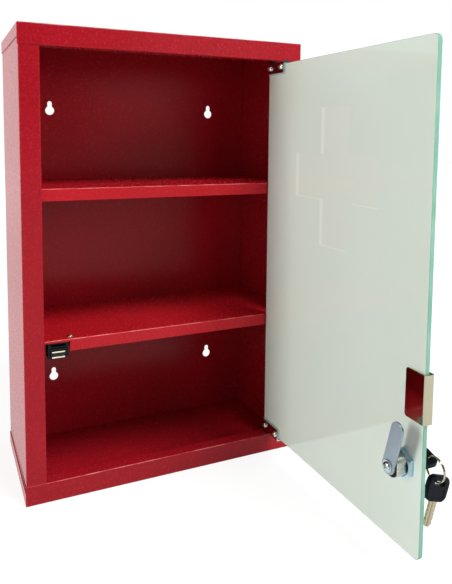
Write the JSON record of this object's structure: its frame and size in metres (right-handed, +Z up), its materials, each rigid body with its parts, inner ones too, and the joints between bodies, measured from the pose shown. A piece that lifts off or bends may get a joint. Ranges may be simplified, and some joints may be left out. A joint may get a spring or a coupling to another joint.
{
  "type": "lockable medicine cabinet",
  "caption": "Wall cabinet of folded red sheet steel with two fixed tray shelves and a frameless frosted glass door with a printed cross, closed by a magnetic catch and a cam lock with its keys",
  "frame": {"origin": "middle of the four wall keyholes, on the rear face of the back panel, one sheet before the wall", "axes": "+Z up, +Y into the wall, so the front faces -Y, +X to the right as seen from the front"},
  "size_m": [0.3042, 0.381, 0.46],
  "materials": {
    "red_paint": "semi-gloss powder coat",
    "black_nylon": "matt moulded nylon",
    "magnet": "matt ferrite",
    "pole_steel": "ground",
    "bright_zinc": "bright zinc plate",
    "frosted_glass": "etched face, polished edge, printed cross",
    "chrome_plate": "polished",
    "clear_pad": "clear soft plastic",
    "nickel_plate": "bright nickel",
    "grey_pad": "matt",
    "zinc_plate": "zinc plate",
    "blue_zinc": "blue zinc plate",
    "black_rubber": "matt",
    "key_plastic": "fine grained"
  },
  "bodies": {
    "cabinet": {"top_cap": "red_paint", "bottom_cap": "red_paint", "left_side": "red_paint", "right_side": "red_paint", "back_panel": "red_paint", "upper_shelf": "red_paint", "lower_shelf": "red_paint", "hinge_bush_top": "black_nylon", "hinge_bush_bottom": "black_nylon", "catch_housing": "black_nylon", "catch_carrier": "black_nylon", "catch_magnet": "magnet", "catch_pole_upper": "pole_steel", "catch_pole_lower": "pole_steel", "catch_screw": "bright_zinc"},
    "door": {"door_glass": "frosted_glass", "hinge_clip_top": "chrome_plate", "hinge_clip_bottom": "chrome_plate", "hinge_pad_top": "clear_pad", "hinge_pad_bottom": "clear_pad", "hinge_pin_top": "bright_zinc", "hinge_pin_bottom": "bright_zinc", "clip_screw_top_inner": "bright_zinc", "clip_screw_top_outer": "bright_zinc", "clip_screw_bottom_inner": "bright_zinc", "clip_screw_bottom_outer": "bright_zinc", "handle_clip": "nickel_plate", "handle_pad": "grey_pad", "lock_housing": "zinc_plate", "lock_gasket": "black_rubber", "lock_nut": "blue_zinc"},
    "plug": {"lock_plug": "nickel_plate", "lock_lever": "zinc_plate", "lever_washer": "zinc_plate", "lever_screw": "bright_zinc"},
    "key": {"key_blade": "nickel_plate", "key_head": "key_plastic"},
    "ring": {"key_ring": "nickel_plate"},
    "spare_key": {"spare_blade": "nickel_plate", "spare_head": "key_plastic"}
  },
  "joints": [
    {"name": "door_swing", "type": "hinge", "parent": "cabinet", "child": "door", "pos_m": [0.119, -0.1342, 0], "axis": [0, 0, 1], "range_deg": [-90, 40]},
    {"name": "lock_turn", "type": "hinge", "parent": "door", "child": "plug", "pos_m": [0.119, -0.3577, -0.131], "axis": [1, 0, 0], "range_deg": [-15, 75]},
    {"name": "key_pull", "type": "slide", "parent": "plug", "child": "key", "axis": [1, 0, 0], "range_m": [0, 0.024]},
    {"name": "ring_swing", "type": "hinge", "parent": "key", "child": "ring", "pos_m": [0.14, -0.3659, -0.13], "axis": [1, 0, 0], "range_deg": [-15, 15]},
    {"name": "spare_key_swing", "type": "hinge", "parent": "ring", "child": "spare_key", "pos_m": [0.14, -0.369, -0.147], "axis": [0, 1, 0], "range_deg": [-35, 12]}
  ]
}
